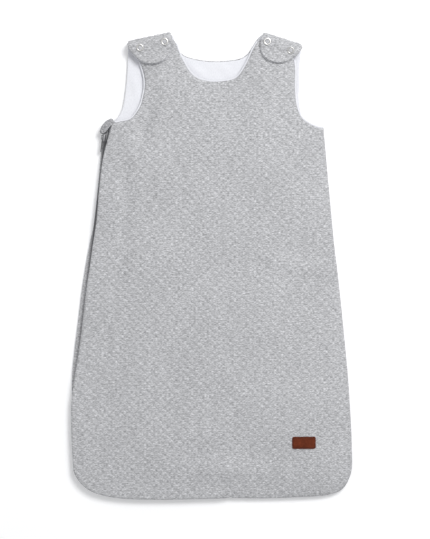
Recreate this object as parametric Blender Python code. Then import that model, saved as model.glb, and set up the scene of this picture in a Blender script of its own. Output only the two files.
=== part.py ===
"""Baby sleeping bag, lying flat on its back, with its head end towards +Y.

A quilted back and front are sewn together down the right side and along half of the hem. A zip
joins them from the left underarm, round the lower left corner, to the middle of the hem. The back
runs over each shoulder as a flap, which two ring snaps hold to the front. With the zip open, the
lower left corner of the front folds over on a line between the zip's two ends.

Lengths are in millimetres until solid() turns them into metres. The origin is under the middle of
the bag, on the surface that it lies on.
"""

import math

import bmesh
import bpy
from mathutils import Vector
from mathutils.geometry import delaunay_2d_cdt

METRES_PER_MM = 0.001

# Cloth thicknesses, and the gap that neighbouring layers keep.
GAP = 0.3
SHELL = 1.8
PADDING = 2.2
LINING = 1.2
PANEL = SHELL + PADDING + LINING + 2 * GAP

# Height of the front's inside face, above the space for the baby.
FRONT_HEIGHT = 12.4
FRONT_TOP = FRONT_HEIGHT + PANEL

# Spacing of the points that shape an outline, on its curves and on its straight stretches.
CURVE_STEP = 15.0
STRAIGHT_STEP = 40.0

# The zip, as depths inside the back's edge. It stands on edge, with its back half below its front.
ZIP_LINE = 5.0
TAPE = (ZIP_LINE - 0.4, ZIP_LINE + 0.4)
TEETH = (ZIP_LINE - 2.3, ZIP_LINE - 0.7)
BACK_TEETH = (7.0, 8.6)
FRONT_TEETH = (9.9, 11.5)
ZIP_MIDDLE = (BACK_TEETH[1] + FRONT_TEETH[0]) / 2
FRONT_EDGE = 4.0
INNER_EDGE = 7.3
SEAM_STRIP = 1.2
SEAM_FOOT = SHELL / 3
SEAM_EDGE = 1.5
SEAM_INNER_EDGE = 3.0
SHOULDER_INNER_EDGE = 3.0
GUARD = (INNER_EDGE + 1.5, INNER_EDGE + 15.0)
OPEN_EDGE = 0.5

# The edge that the zip runs along: a straight side, then the lower left corner and half of the hem.
ZIP_SIDE_TOP = (-161.6, 203.0)
ZIP_SIDE_FOOT = (-209.0, -200.0)
ZIP_CORNER = [
    ZIP_SIDE_FOOT,
    (-210.4, -250.0),
    (-207.5, -297.0),
    (-195.5, -326.0),
    (-172.0, -343.0),
    (-140.0, -348.5),
    (-100.0, -350.0),
    (-17.0, -346.5),
    (31.0, -342.5),
]
HEM_SEAM = [
    (31.0, -342.5),
    (35.0, -343.0),
    (40.0, -343.5),
    (60.0, -345.0),
    (147.5, -345.4),
    (174.0, -342.0),
    (193.0, -331.0),
    (205.0, -312.0),
    (210.4, -270.0),
    (208.5, -210.0),
    (198.0, -96.0),
    (184.0, 38.5),
    (167.6, 205.0),
]

# The back's open edges, from the right underarm over the top to the left underarm.
BACK_RIGHT_ARM = [
    (167.6, 205.0),
    (151.0, 209.0),
    (139.5, 218.0),
    (132.5, 238.0),
    (131.0, 270.0),
    (137.0, 330.0),
]
BACK_NECK = [
    (76.5, 349.3),
    (68.0, 334.0),
    (57.0, 319.0),
    (45.0, 311.0),
    (25.0, 307.5),
    (0.0, 306.7),
    (-24.0, 309.5),
    (-42.0, 316.5),
    (-52.0, 329.0),
    (-59.2, 349.3),
]
BACK_LEFT_ARM = [
    (-126.4, 335.0),
    (-125.5, 290.0),
    (-128.5, 255.0),
    (-135.0, 228.0),
    (-147.0, 216.5),
    ZIP_SIDE_TOP,
]

# The front's open edges, in the same order.
FRONT_RIGHT_ARM = [
    (167.6, 205.0),
    (147.5, 212.0),
    (134.0, 220.0),
    (127.5, 236.0),
    (124.5, 265.0),
    (123.0, 305.0),
    (129.5, 327.0),
]
FRONT_NECK = [
    (72.5, 345.0),
    (65.3, 330.0),
    (55.3, 307.5),
    (45.4, 290.0),
    (35.0, 279.5),
    (18.0, 275.6),
    (0.0, 274.6),
    (-17.0, 278.0),
    (-34.4, 292.5),
    (-46.8, 315.0),
    (-57.0, 344.6),
]
FRONT_LEFT_ARM = [
    (-121.0, 331.0),
    (-106.5, 306.0),
    (-100.0, 285.0),
    (-99.5, 268.0),
    (-105.0, 240.0),
    (-114.0, 225.0),
    (-124.0, 217.5),
    (-141.0, 216.0),
    ZIP_SIDE_TOP,
]

# The line that the front's lower left corner folds on, and the cut left along it.
FOLD_TOP_Y = 150.0
FOLD_END = ZIP_CORNER[-1]
FOLD_CUT = 0.5
FOLD_HEIGHT = FRONT_TOP + GAP

# Shoulder flaps. Each outline starts along its top fold.
LEFT_FLAP = [
    (-59.2, 349.3),
    (-57.6, 337.0),
    (-62.0, 318.0),
    (-74.0, 304.0),
    (-89.0, 300.0),
    (-106.5, 306.0),
    (-120.0, 320.0),
    (-126.4, 335.0),
]
RIGHT_FLAP = [
    (137.0, 330.0),
    (133.0, 320.5),
    (122.0, 309.5),
    (104.0, 302.0),
    (91.0, 303.0),
    (80.0, 308.5),
    (73.5, 320.0),
    (72.8, 336.0),
    (76.5, 349.3),
]
SNAP_STACK = 3.9
FLAP_LINING_HEIGHT = FRONT_TOP + SNAP_STACK
FLAP_HINGE_HEIGHT = FLAP_LINING_HEIGHT - GAP
FLAP_LINING_EDGE = 0.6
FLAP_STEP = 7.0
FOLD_WALL = (0.2, 2.0)
FOLD_WALL_FOOT = SHELL / 3
FOLD_WALL_TOP = FLAP_HINGE_HEIGHT - GAP

# Ring snaps: (name, place). Heights count up from the front's outer face.
SNAPS = {
    "left_outer": (-106.0, 324.0),
    "left_inner": (-69.5, 333.0),
    "right_inner": (83.0, 333.0),
    "right_outer": (118.0, 320.0),
}
SNAP_RADIUS = 5.45
SNAP_HOLE = 3.3
SNAP_BASE_RADIUS = 4.3
STUD_RADIUS = 2.0
SOCKET_HOLE = 2.4
SNAP_STEPS = 20
SNAP_CHAMFER = 0.35
CAP_HEIGHT = 0.9
RING_HEIGHT = 0.8
STUD_HEIGHT = 2.4
STUD_BASE = 0.5
SOCKET_LIFT = 0.9

# Zip slider, in its own directions: along the zip, outwards from the bag, and up.
SLIDER_FROM_TOP = 11.0
SLIDER_LENGTH = 12.0
SLIDER_HEIGHT = 6.6
OUTER_PLATE = (2.6, 3.8)
INNER_PLATE = (-1.9, -0.7)
SLIDER_FLANGE = 0.7
SLIDER_POST = (0.6, 3.0)
SLIDER_JOIN = 0.2
BAIL_REACH = 3.4
BAIL_LEG = 1.2
BAIL_WIDTH = 1.6
BAIL = (5.9, 6.9)
TOP_STOP = (1.5, 4.5)
STOP_THICKNESS = 1.0
BOTTOM_STOP = (2.0, 6.0)
STOP_MARGIN = 0.6
PULLER_PIVOT = 4.9
PULLER_THICKNESS = 1.2
PULLER_WIDTH = 6.0
PULLER_LENGTH = 22.0
PULLER_WINDOW = (0.6, 5.5)
PULLER_WINDOW_WIDTH = 4.0
CUTTER_SPARE = 1.0

# The tab of cloth that curls over the top of the zip, and its pivot beside the bag.
GARAGE_PATH = [(-167.0, 199.0), (-163.5, 207.5), (-157.0, 215.0), (-147.5, 220.0)]
GARAGE_FOOT = 2.4
GARAGE_ROOF = FRONT_TOP + 0.4
GARAGE_WIDTH = 9.5
GARAGE_STEP = 6.0

LABEL_CENTRE = (138.0, -264.0)
LABEL_SIZE = (35.0, 18.0)
LABEL_CORNER = 2.5
CORNER_STEPS = 3
LABEL_THICKNESS = 1.2
STITCH_INSET = 1.8
STITCH_WIDTH = 0.7
STITCH_HEIGHT = 0.4

# Colours, as linear RGB, with roughness and metallic.
HEATHER = ((0.50, 0.505, 0.53), 0.95, 0.0)
WHITE_JERSEY = ((0.80, 0.80, 0.84), 0.95, 0.0)
WADDING = ((0.85, 0.85, 0.83), 1.0, 0.0)
ZIP_TAPE = ((0.36, 0.36, 0.38), 0.9, 0.0)
ZIP_COIL = ((0.42, 0.42, 0.44), 0.55, 0.0)
ZIP_METAL = ((0.30, 0.30, 0.31), 0.35, 1.0)
SNAP_METAL = ((0.62, 0.61, 0.60), 0.28, 1.0)
LEATHER = ((0.13, 0.036, 0.018), 0.6, 0.0)
THREAD = ((0.07, 0.022, 0.012), 0.9, 0.0)


def clear_scene():
    for obj in list(bpy.data.objects):
        bpy.data.objects.remove(obj)


def material(name, look):
    colour, roughness, metallic = look
    made = bpy.data.materials.new(name)
    made.use_nodes = True
    shader = made.node_tree.nodes["Principled BSDF"]
    shader.inputs["Base Color"].default_value = (*colour, 1.0)
    shader.inputs["Roughness"].default_value = roughness
    shader.inputs["Metallic"].default_value = metallic
    return made


def solid(name, points, faces, look):
    """One object from points in millimetres and faces, with its normals facing out."""
    shape = bmesh.new()
    corners = [shape.verts.new(Vector(p) * METRES_PER_MM) for p in points]
    for face in faces:
        shape.faces.new([corners[i] for i in face])
    bmesh.ops.recalc_face_normals(shape, faces=shape.faces)
    mesh = bpy.data.meshes.new(name)
    shape.to_mesh(mesh)
    shape.free()
    made = bpy.data.objects.new(name, mesh)
    mesh.materials.append(material(name, look))
    bpy.context.scene.collection.objects.link(made)
    return made


# Outlines are lists of (point, kind of the edge that follows it), anticlockwise from above.


def curve(points, step=CURVE_STEP):
    """Points about a step apart on a smooth curve through the given ones, without the last."""
    ends = [tuple(2 * a - b for a, b in zip(points[0], points[1]))]
    ends += list(points)
    ends.append(tuple(2 * a - b for a, b in zip(points[-1], points[-2])))
    made = []
    for i in range(1, len(ends) - 2):
        before, start, stop, after = (Vector(p) for p in ends[i - 1 : i + 3])
        count = max(1, round((stop - start).length / step))
        for k in range(count):
            t = k / count
            a = 2 * start
            b = (stop - before) * t
            c = (2 * before - 5 * start + 4 * stop - after) * t * t
            d = (3 * start - before - 3 * stop + after) * t**3
            made.append((a + b + c + d) / 2)
    return made


def straight(start, stop, step):
    start = Vector(start)
    stop = Vector(stop)
    count = max(1, round((stop - start).length / step))
    return [start.lerp(stop, k / count) for k in range(count)]


def tagged(points, kind):
    return [(p, kind) for p in points]


def zip_edge():
    return straight(ZIP_SIDE_TOP, ZIP_SIDE_FOOT, STRAIGHT_STEP) + curve(ZIP_CORNER)


def seam_edge():
    return curve(HEM_SEAM)


def outline(right_arm, neck, left_arm):
    """A panel's outline: its zipped and sewn rim, then its open edges."""
    seam = seam_edge()
    made = tagged(zip_edge() + seam[:1], "zip") + tagged(seam[1:], "seam")
    made += tagged(curve(right_arm), "arm")
    made += tagged(straight(right_arm[-1], neck[0], STRAIGHT_STEP), "shoulder")
    made += tagged(curve(neck), "neck")
    made += tagged(straight(neck[-1], left_arm[0], STRAIGHT_STEP), "shoulder")
    made += tagged(curve(left_arm), "arm")
    return made


def moved_in(before, here, after, depths):
    """The corner here, moved so that its two edges lie the two depths further in."""
    first = (here - before).normalized()
    second = (after - here).normalized()
    normals = [Vector((-first.y, first.x)), Vector((-second.y, second.x))]
    turn = normals[0].cross(normals[1])
    if abs(turn) < 0.08:
        return here + (normals[0] + normals[1]).normalized() * sum(depths) / 2
    x = (depths[0] * normals[1].y - depths[1] * normals[0].y) / turn
    y = (depths[1] * normals[0].x - depths[0] * normals[1].x) / turn
    return here + Vector((x, y))


def inset(shape, depths):
    """A closed outline moved in by a depth for each kind of edge."""
    made = []
    for i, (here, kind) in enumerate(shape):
        before, kind_before = shape[i - 1]
        after = shape[(i + 1) % len(shape)][0]
        made.append((moved_in(before, here, after, (depths[kind_before], depths[kind])), kind))
    return made


def beside(path, depth):
    """An open path moved to its left, which is into the bag, by a depth."""
    before = [2 * path[0] - path[1]] + path[:-1]
    after = path[1:] + [2 * path[-1] - path[-2]]
    return [moved_in(a, b, c, (depth, depth)) for a, b, c in zip(before, path, after)]


def fold_ends():
    top = Vector(ZIP_SIDE_TOP)
    foot = Vector(ZIP_SIDE_FOOT)
    start = top.lerp(foot, (top.y - FOLD_TOP_Y) / (top.y - foot.y))
    return start, Vector(FOLD_END)


def side_of_fold(point):
    """How far a point lies from the fold line: above zero on the part of the front that stays."""
    start, stop = fold_ends()
    along = (stop - start).normalized()
    return along.cross(point - start)


def clipped(shape, staying):
    """The part of a closed outline on one side of the fold line, less the cut along it."""
    sign = 1 if staying else -1
    made = []
    for i, (here, kind) in enumerate(shape):
        after = shape[(i + 1) % len(shape)][0]
        now = sign * side_of_fold(here) - FOLD_CUT
        then = sign * side_of_fold(after) - FOLD_CUT
        if now >= 0:
            made.append((here, kind))
        if (now >= 0) != (then >= 0):
            crossing = here.lerp(after, now / (now - then))
            made.append((crossing, "fold" if now >= 0 else kind))
    return made


def layer(name, shape, bottom, thickness, look):
    """A flat layer of cloth of an outline's shape, from the height bottom upwards."""
    ring = [list(range(len(shape)))]
    plan, _, triangles, *_ = delaunay_2d_cdt([p for p, _ in shape], [], ring, 1, 1e-4)
    total = len(plan)
    points = [(p.x, p.y, height) for height in (bottom, bottom + thickness) for p in plan]
    faces = [list(t) for t in triangles]
    faces += [[i + total for i in reversed(t)] for t in triangles]
    sides = {(t[k - 1], t[k]) for t in triangles for k in range(3)}
    faces += [(a, b, b + total, a + total) for a, b in sorted(sides) if (b, a) not in sides]
    return solid(name, points, faces, look)


def strip(name, path, profile, look):
    """A strip along an open path. Its section is given as (depth into the bag, height) corners."""
    rails = [[(p.x, p.y, height) for p in beside(path, depth)] for depth, height in profile]
    points = [rail[i] for i in range(len(path)) for rail in rails]
    width = len(profile)
    faces = [list(range(width)), list(range((len(path) - 1) * width, len(path) * width))]
    for i in range(len(path) - 1):
        for k in range(width):
            after = (k + 1) % width
            low = i * width
            high = low + width
            faces.append((low + k, low + after, high + after, high + k))
    return solid(name, points, faces, look)


def box_profile(depths, heights):
    return [(depths[0], heights[0]), (depths[1], heights[0]), (depths[1], heights[1]), (depths[0], heights[1])]


def turned(name, place, profile, look):
    """A ring or stud on a vertical axis, from (radius, height) corners. A zero radius is the axis."""
    points = []
    index = []
    for radius, height in profile:
        turns = 1 if radius == 0 else SNAP_STEPS
        index.append(range(len(points), len(points) + turns))
        for k in range(turns):
            angle = 2 * math.pi * k / SNAP_STEPS
            x = place[0] + radius * math.cos(angle)
            y = place[1] + radius * math.sin(angle)
            points.append((x, y, height))
    faces = []
    for first, second in zip(index, index[1:] + index[:1]):
        if len(first) == len(second) == 1:
            continue
        for k in range(SNAP_STEPS):
            after = (k + 1) % SNAP_STEPS
            corners = [first[k % len(first)], first[after % len(first)]]
            corners += [second[after % len(second)], second[k % len(second)]]
            faces.append(list(dict.fromkeys(corners)))
    return solid(name, points, faces, look)


def block(name, corner, opposite, look):
    x = (corner[0], opposite[0])
    y = (corner[1], opposite[1])
    z = (corner[2], opposite[2])
    points = [(a, b, c) for c in z for b in y for a in x]
    faces = [(0, 1, 3, 2), (4, 5, 7, 6), (0, 1, 5, 4), (2, 3, 7, 6), (0, 2, 6, 4), (1, 3, 7, 5)]
    return solid(name, points, faces, look)


def boolean(target, tool, operation):
    tool.hide_render = True
    tool.display_type = "WIRE"
    modifier = target.modifiers.new(tool.name, "BOOLEAN")
    modifier.operation = operation
    modifier.object = tool


def rounded_rectangle(centre, size, corner):
    made = []
    reach = Vector((size[0] / 2 - corner, size[1] / 2 - corner))
    for turn, side in enumerate(((1, 1), (-1, 1), (-1, -1), (1, -1))):
        middle = Vector(centre) + reach * Vector(side)
        for k in range(CORNER_STEPS + 1):
            angle = math.pi / 2 * (turn + k / CORNER_STEPS)
            made.append((middle + corner * Vector((math.cos(angle), math.sin(angle))), "edge"))
    return made


# The back.


def fold_wall(start, stop):
    """The stretch of the back that stands up behind a shoulder, from the floor to the flap."""
    path = [Vector(start), Vector(stop)]
    return strip("fold_wall", path, box_profile(FOLD_WALL, (FOLD_WALL_FOOT, FOLD_WALL_TOP)), HEATHER)


def build_back():
    shape = outline(BACK_RIGHT_ARM, BACK_NECK, BACK_LEFT_ARM)
    outer_depths = {
        "zip": 0.0,
        "seam": SEAM_EDGE,
        "arm": 0.0,
        "shoulder": 0.0,
        "neck": 0.0,
    }
    inner_depths = {
        "zip": INNER_EDGE,
        "seam": SEAM_INNER_EDGE,
        "arm": OPEN_EDGE,
        "shoulder": SHOULDER_INNER_EDGE,
        "neck": OPEN_EDGE,
    }
    outer = inset(shape, outer_depths)
    inner = inset(shape, inner_depths)
    shell = layer("back_shell", outer, 0.0, SHELL, HEATHER)
    boolean(shell, fold_wall(BACK_RIGHT_ARM[-1], BACK_NECK[0]), "UNION")
    boolean(shell, fold_wall(BACK_NECK[-1], BACK_LEFT_ARM[0]), "UNION")
    padding_height = SHELL + GAP
    layer("back_padding", inner, padding_height, PADDING, WADDING)
    layer("back_lining", inner, padding_height + PADDING + GAP, LINING, WHITE_JERSEY)


# The front.


def build_front(prefix, staying):
    """The three layers of the front, on one side of the fold line."""
    shape = outline(FRONT_RIGHT_ARM, FRONT_NECK, FRONT_LEFT_ARM)
    outer_depths = {
        "zip": FRONT_EDGE,
        "seam": SEAM_EDGE,
        "arm": 0.0,
        "shoulder": 0.0,
        "neck": 0.0,
    }
    inner_depths = {
        "zip": INNER_EDGE,
        "seam": SEAM_INNER_EDGE,
        "arm": OPEN_EDGE,
        "shoulder": OPEN_EDGE,
        "neck": OPEN_EDGE,
    }
    outer = clipped(inset(shape, outer_depths), staying)
    inner = clipped(inset(shape, inner_depths), staying)
    padding_height = FRONT_HEIGHT + LINING + GAP
    shell_height = padding_height + PADDING + GAP
    lining = layer(prefix + "_lining", inner, FRONT_HEIGHT, LINING, WHITE_JERSEY)
    padding = layer(prefix + "_padding", inner, padding_height, PADDING, WADDING)
    shell = layer(prefix + "_shell", outer, shell_height, SHELL, HEATHER)
    return [lining, padding, shell]


def build_side_seam():
    """The sewn edge that joins the back to the front, from the zip's end to the right underarm."""
    path = seam_edge()[2:] + [Vector(HEM_SEAM[-1])]
    heights = (SEAM_FOOT, FRONT_TOP - GAP)
    strip("side_seam", path, box_profile((0.0, SEAM_STRIP), heights), HEATHER)


# The zip.


def zip_path():
    return zip_edge() + [Vector(FOLD_END)]


def zip_half(name, path, staying, depths, heights, look):
    """A stretch of the zip's front half, on one side of the fold line."""
    outer = tagged(beside(path, depths[0]), "zip")
    inner = tagged(reversed(beside(path, depths[1])), "zip")
    return layer(name, clipped(outer + inner, staying), heights[0], heights[1] - heights[0], look)


def build_back_zip():
    path = zip_path()
    strip("zip_back_tape", path, box_profile(TAPE, (SHELL + GAP, BACK_TEETH[1])), ZIP_TAPE)
    strip("zip_back_teeth", path, box_profile(TEETH, BACK_TEETH), ZIP_COIL)
    guard_height = PANEL + GAP
    guard_profile = box_profile(GUARD, (guard_height, guard_height + LINING))
    strip("zip_guard", path, guard_profile, WHITE_JERSEY)


def build_front_zip(prefix, staying):
    """The front half's tape and teeth. The straight side alone crosses to the part that stays."""
    path = zip_path()
    if staying:
        path = straight(ZIP_SIDE_TOP, ZIP_SIDE_FOOT, STRAIGHT_STEP)[:3]
    tape_heights = (FRONT_TEETH[0], FRONT_HEIGHT + LINING + GAP + PADDING)
    tape = zip_half(prefix + "_tape", path, staying, TAPE, tape_heights, ZIP_TAPE)
    teeth = zip_half(prefix + "_teeth", path, staying, TEETH, FRONT_TEETH, ZIP_COIL)
    return [tape, teeth]


def along_zip():
    return (Vector(ZIP_SIDE_TOP) - Vector(ZIP_SIDE_FOOT)).normalized()


def slider_origin():
    """The middle of the slider, on the line of the zip."""
    along = along_zip()
    inwards = Vector((along.y, -along.x))
    place = Vector(ZIP_SIDE_TOP) - along * SLIDER_FROM_TOP + inwards * ZIP_LINE
    return Vector((place.x, place.y, ZIP_MIDDLE))


def on_zip(obj):
    """Turns an object built along +Y, with +X into the bag, to lie along the zip at the slider."""
    along = along_zip()
    obj.rotation_euler.z = math.atan2(along.y, along.x) - math.pi / 2
    obj.location = slider_origin() * METRES_PER_MM
    return obj


def zip_block(name, length, outwards, height, look):
    """A block on the slider: its stretches along the zip, outwards, and up."""
    corner = (-outwards[1], length[0], height[0])
    opposite = (-outwards[0], length[1], height[1])
    return on_zip(block(name, corner, opposite, look))


def build_slider():
    """Two plates with a thin post between them, flanges along the outer plate, and the bail."""
    half = SLIDER_HEIGHT / 2
    end = SLIDER_LENGTH / 2
    body = zip_block("slider", (-end, end), OUTER_PLATE, (-half, half), ZIP_METAL)
    into_plate = OUTER_PLATE[0] + 2 * SLIDER_JOIN
    lip = (SLIDER_FLANGE, into_plate)
    leg = (into_plate, BAIL[1] - SLIDER_JOIN)
    post_half = SLIDER_POST[0] / 2
    post_end = end - SLIDER_JOIN
    through = (INNER_PLATE[0] + SLIDER_JOIN, OUTER_PLATE[1] - SLIDER_JOIN)
    lip_end = end - SLIDER_JOIN / 2
    lip_foot = half - SLIDER_JOIN / 4
    bail_half = BAIL_WIDTH / 2
    bar_half = bail_half - SLIDER_JOIN / 4
    bar_end = BAIL_REACH - SLIDER_JOIN / 2
    pieces = [
        ("inner_plate", (-end, end), INNER_PLATE, (-half, half)),
        ("post", (post_end - SLIDER_POST[1], post_end), through, (-post_half, post_half)),
        ("lower_flange", (-lip_end, lip_end), lip, (-lip_foot, -half + SLIDER_FLANGE)),
        ("upper_flange", (-lip_end, lip_end), lip, (half - SLIDER_FLANGE, lip_foot)),
        ("bail_foot", (-BAIL_REACH, -BAIL_REACH + BAIL_LEG), leg, (-bail_half, bail_half)),
        ("bail_head", (BAIL_REACH - BAIL_LEG, BAIL_REACH), leg, (-bail_half, bail_half)),
        ("bail_bar", (-bar_end, bar_end), BAIL, (-bar_half, bar_half)),
    ]
    for name, length, outwards, height in pieces:
        boolean(body, zip_block(name, length, outwards, height, ZIP_METAL), "UNION")
    return body


def puller_pivot():
    """The middle of the bail's bar, which the puller swings on."""
    along = along_zip()
    outwards = Vector((-along.y, along.x))
    pivot = slider_origin().to_2d() + outwards * PULLER_PIVOT
    return (pivot.x, pivot.y, ZIP_MIDDLE)


def build_puller():
    half = PULLER_WIDTH / 2
    reach = PULLER_THICKNESS / 2
    outwards = (PULLER_PIVOT - reach, PULLER_PIVOT + reach)
    puller = zip_block("puller", (-PULLER_LENGTH, reach), outwards, (-half, half), ZIP_METAL)
    through = (outwards[0] - CUTTER_SPARE, outwards[1] + CUTTER_SPARE)
    window_half = PULLER_WINDOW_WIDTH / 2
    length = (-PULLER_WINDOW[1], -PULLER_WINDOW[0])
    window = zip_block("puller_window", length, through, (-window_half, window_half), ZIP_METAL)
    boolean(puller, window, "DIFFERENCE")
    return puller


def build_stops():
    """A metal clamp at the top of each row of teeth, and one across both at the far end."""
    length = (SLIDER_FROM_TOP - TOP_STOP[1], SLIDER_FROM_TOP - TOP_STOP[0])
    back = (BACK_TEETH[0] - ZIP_MIDDLE, BACK_TEETH[1] - ZIP_MIDDLE)
    front = (FRONT_TEETH[0] - ZIP_MIDDLE, FRONT_TEETH[1] - ZIP_MIDDLE)
    nearest = ZIP_LINE - TEETH[0] + GAP
    outwards = (nearest, nearest + STOP_THICKNESS)
    zip_block("zip_back_top_stop", length, outwards, back, ZIP_METAL)
    zip_block("zip_front_top_stop", length, outwards, front, ZIP_METAL)
    path = [Vector((FOLD_END[0] + reach, FOLD_END[1])) for reach in BOTTOM_STOP]
    heights = (BACK_TEETH[0] - STOP_MARGIN, FRONT_TEETH[1] + STOP_MARGIN)
    strip("zip_bottom_stop", path, box_profile((TEETH[0], TAPE[1]), heights), ZIP_METAL)


def build_garage():
    """A wall beside the zip's top end, with a roof over it."""
    profile = [
        (0.0, GARAGE_FOOT),
        (SHELL, GARAGE_FOOT),
        (SHELL, GARAGE_ROOF),
        (GARAGE_WIDTH, GARAGE_ROOF),
        (GARAGE_WIDTH, GARAGE_ROOF + SHELL),
        (0.0, GARAGE_ROOF + SHELL),
    ]
    path = curve(GARAGE_PATH, GARAGE_STEP) + [Vector(GARAGE_PATH[-1])]
    path.reverse()
    return strip("zip_garage_tab", path, profile, HEATHER)


# The shoulder flaps and their snaps.


def build_flap(side, points):
    shape = tagged(curve(points, FLAP_STEP) + [Vector(points[-1])], "edge")
    shape.reverse()
    inner = inset(shape, {"edge": FLAP_LINING_EDGE})
    lining = layer(side + "_flap_lining", inner, FLAP_LINING_HEIGHT, LINING, WHITE_JERSEY)
    shell_height = FLAP_LINING_HEIGHT + LINING + GAP
    shell = layer(side + "_flap_shell", shape, shell_height, SHELL, HEATHER)
    return [lining, shell]


def build_snap(name, place):
    """The four pieces of a ring snap. The ring and socket are the flap's, the rest the front's."""
    base = FRONT_TOP + GAP
    stud_top = base + STUD_HEIGHT
    socket_foot = base + SOCKET_LIFT
    socket_top = FLAP_LINING_HEIGHT - GAP
    cap_foot = FLAP_LINING_HEIGHT + LINING + GAP + SHELL + GAP
    cap_top = cap_foot + CAP_HEIGHT
    ring_top = FRONT_HEIGHT - GAP
    cap = [
        (SNAP_HOLE, cap_foot),
        (SNAP_RADIUS, cap_foot),
        (SNAP_RADIUS, cap_top - SNAP_CHAMFER),
        (SNAP_RADIUS - SNAP_CHAMFER, cap_top),
        (SNAP_HOLE + SNAP_CHAMFER, cap_top),
        (SNAP_HOLE, cap_top - SNAP_CHAMFER),
    ]
    socket = [
        (0.0, socket_top - STUD_BASE),
        (SOCKET_HOLE, socket_top - STUD_BASE),
        (SOCKET_HOLE, socket_foot),
        (SNAP_BASE_RADIUS - SNAP_CHAMFER, socket_foot),
        (SNAP_BASE_RADIUS, socket_foot + SNAP_CHAMFER),
        (SNAP_BASE_RADIUS, socket_top),
        (0.0, socket_top),
    ]
    stud = [
        (0.0, base),
        (SNAP_BASE_RADIUS, base),
        (SNAP_BASE_RADIUS, base + STUD_BASE),
        (STUD_RADIUS, base + STUD_BASE),
        (STUD_RADIUS, stud_top - SNAP_CHAMFER),
        (STUD_RADIUS - SNAP_CHAMFER, stud_top),
        (0.0, stud_top),
    ]
    ring = [
        (SNAP_HOLE, ring_top - RING_HEIGHT),
        (SNAP_RADIUS, ring_top - RING_HEIGHT),
        (SNAP_RADIUS, ring_top),
        (SNAP_HOLE, ring_top),
    ]
    turned(name + "_snap_stud", place, stud, SNAP_METAL)
    turned(name + "_snap_back_ring", place, ring, SNAP_METAL)
    return [
        turned(name + "_snap_cap_ring", place, cap, SNAP_METAL),
        turned(name + "_snap_socket", place, socket, SNAP_METAL),
    ]


def build_label():
    """A leather label, with the line of its stitching as a flat ring on top."""
    height = FRONT_TOP + GAP
    shape = rounded_rectangle(LABEL_CENTRE, LABEL_SIZE, LABEL_CORNER)
    layer("label", shape, height, LABEL_THICKNESS, LEATHER)
    height += LABEL_THICKNESS + GAP
    outer_size = [length - 2 * STITCH_INSET for length in LABEL_SIZE]
    inner_size = [length - 2 * STITCH_WIDTH for length in outer_size]
    outer = rounded_rectangle(LABEL_CENTRE, outer_size, LABEL_CORNER)
    inner = rounded_rectangle(LABEL_CENTRE, inner_size, LABEL_CORNER - STITCH_WIDTH)
    stitching = layer("label_stitching", outer, height, STITCH_HEIGHT, THREAD)
    hole_height = STITCH_HEIGHT + 2 * CUTTER_SPARE
    middle = layer("label_stitching_hole", inner, height - CUTTER_SPARE, hole_height, THREAD)
    boolean(stitching, middle, "DIFFERENCE")


def hang_on(name, pivot, pieces):
    """An empty on a joint's axis, with the joint's pieces as its children where they already lie."""
    empty = bpy.data.objects.new(name, None)
    empty.location = Vector(pivot) * METRES_PER_MM
    bpy.context.scene.collection.objects.link(empty)
    for piece in pieces:
        piece.parent = empty
        piece.location = piece.location - empty.location
    return empty


def main():
    clear_scene()
    build_back()
    build_front("front", True)
    build_side_seam()
    build_back_zip()
    build_front_zip("zip_front_top", True)
    build_stops()
    build_label()

    corner = build_front("front_corner", False) + build_front_zip("zip_front", False)
    fold_start, fold_stop = fold_ends()
    fold_middle = (fold_start + fold_stop) / 2
    hang_on("front_fold_axis", (*fold_middle, FOLD_HEIGHT), corner)

    left = build_flap("left", LEFT_FLAP)
    right = build_flap("right", RIGHT_FLAP)
    for name, place in SNAPS.items():
        flap = left if name.startswith("left") else right
        flap += build_snap(name, place)
    hang_on("left_flap_axis", (*LEFT_FLAP[0], FLAP_HINGE_HEIGHT), left)
    hang_on("right_flap_axis", (*RIGHT_FLAP[0], FLAP_HINGE_HEIGHT), right)

    hang_on("garage_axis", (*GARAGE_PATH[0], GARAGE_FOOT), [build_garage()])
    build_slider()
    hang_on("puller_axis", puller_pivot(), [build_puller()])


main()
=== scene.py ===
"""Looks of the baby sleeping bag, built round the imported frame.

Lengths are in millimetres until make_mesh() turns them into metres. Every piece of cloth is a
pillow: a plan, flat as it is cut, that a function places in space, with an upper and a lower face
that meet along its edge.
"""

import math

import bpy
import numpy as np
from mathutils import Matrix, Vector
from mathutils.geometry import delaunay_2d_cdt


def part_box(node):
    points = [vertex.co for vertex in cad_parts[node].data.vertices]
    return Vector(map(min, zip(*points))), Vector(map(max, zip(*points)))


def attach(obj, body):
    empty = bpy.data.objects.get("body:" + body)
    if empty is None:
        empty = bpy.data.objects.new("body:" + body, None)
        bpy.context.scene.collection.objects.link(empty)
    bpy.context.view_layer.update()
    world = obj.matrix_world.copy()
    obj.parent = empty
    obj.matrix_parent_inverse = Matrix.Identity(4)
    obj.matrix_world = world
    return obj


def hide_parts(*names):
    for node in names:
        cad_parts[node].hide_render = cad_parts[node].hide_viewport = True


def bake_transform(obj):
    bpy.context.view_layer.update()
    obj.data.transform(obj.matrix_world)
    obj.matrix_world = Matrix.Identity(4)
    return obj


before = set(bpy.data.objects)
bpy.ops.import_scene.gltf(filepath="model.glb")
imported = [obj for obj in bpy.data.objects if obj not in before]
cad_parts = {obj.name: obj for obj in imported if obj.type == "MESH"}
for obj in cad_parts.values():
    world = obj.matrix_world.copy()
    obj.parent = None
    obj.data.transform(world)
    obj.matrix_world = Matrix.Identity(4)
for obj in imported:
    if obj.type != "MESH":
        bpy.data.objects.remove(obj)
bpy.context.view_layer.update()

METRES_PER_MM = 0.001
MM_PER_METRE = 1000.0

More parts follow.
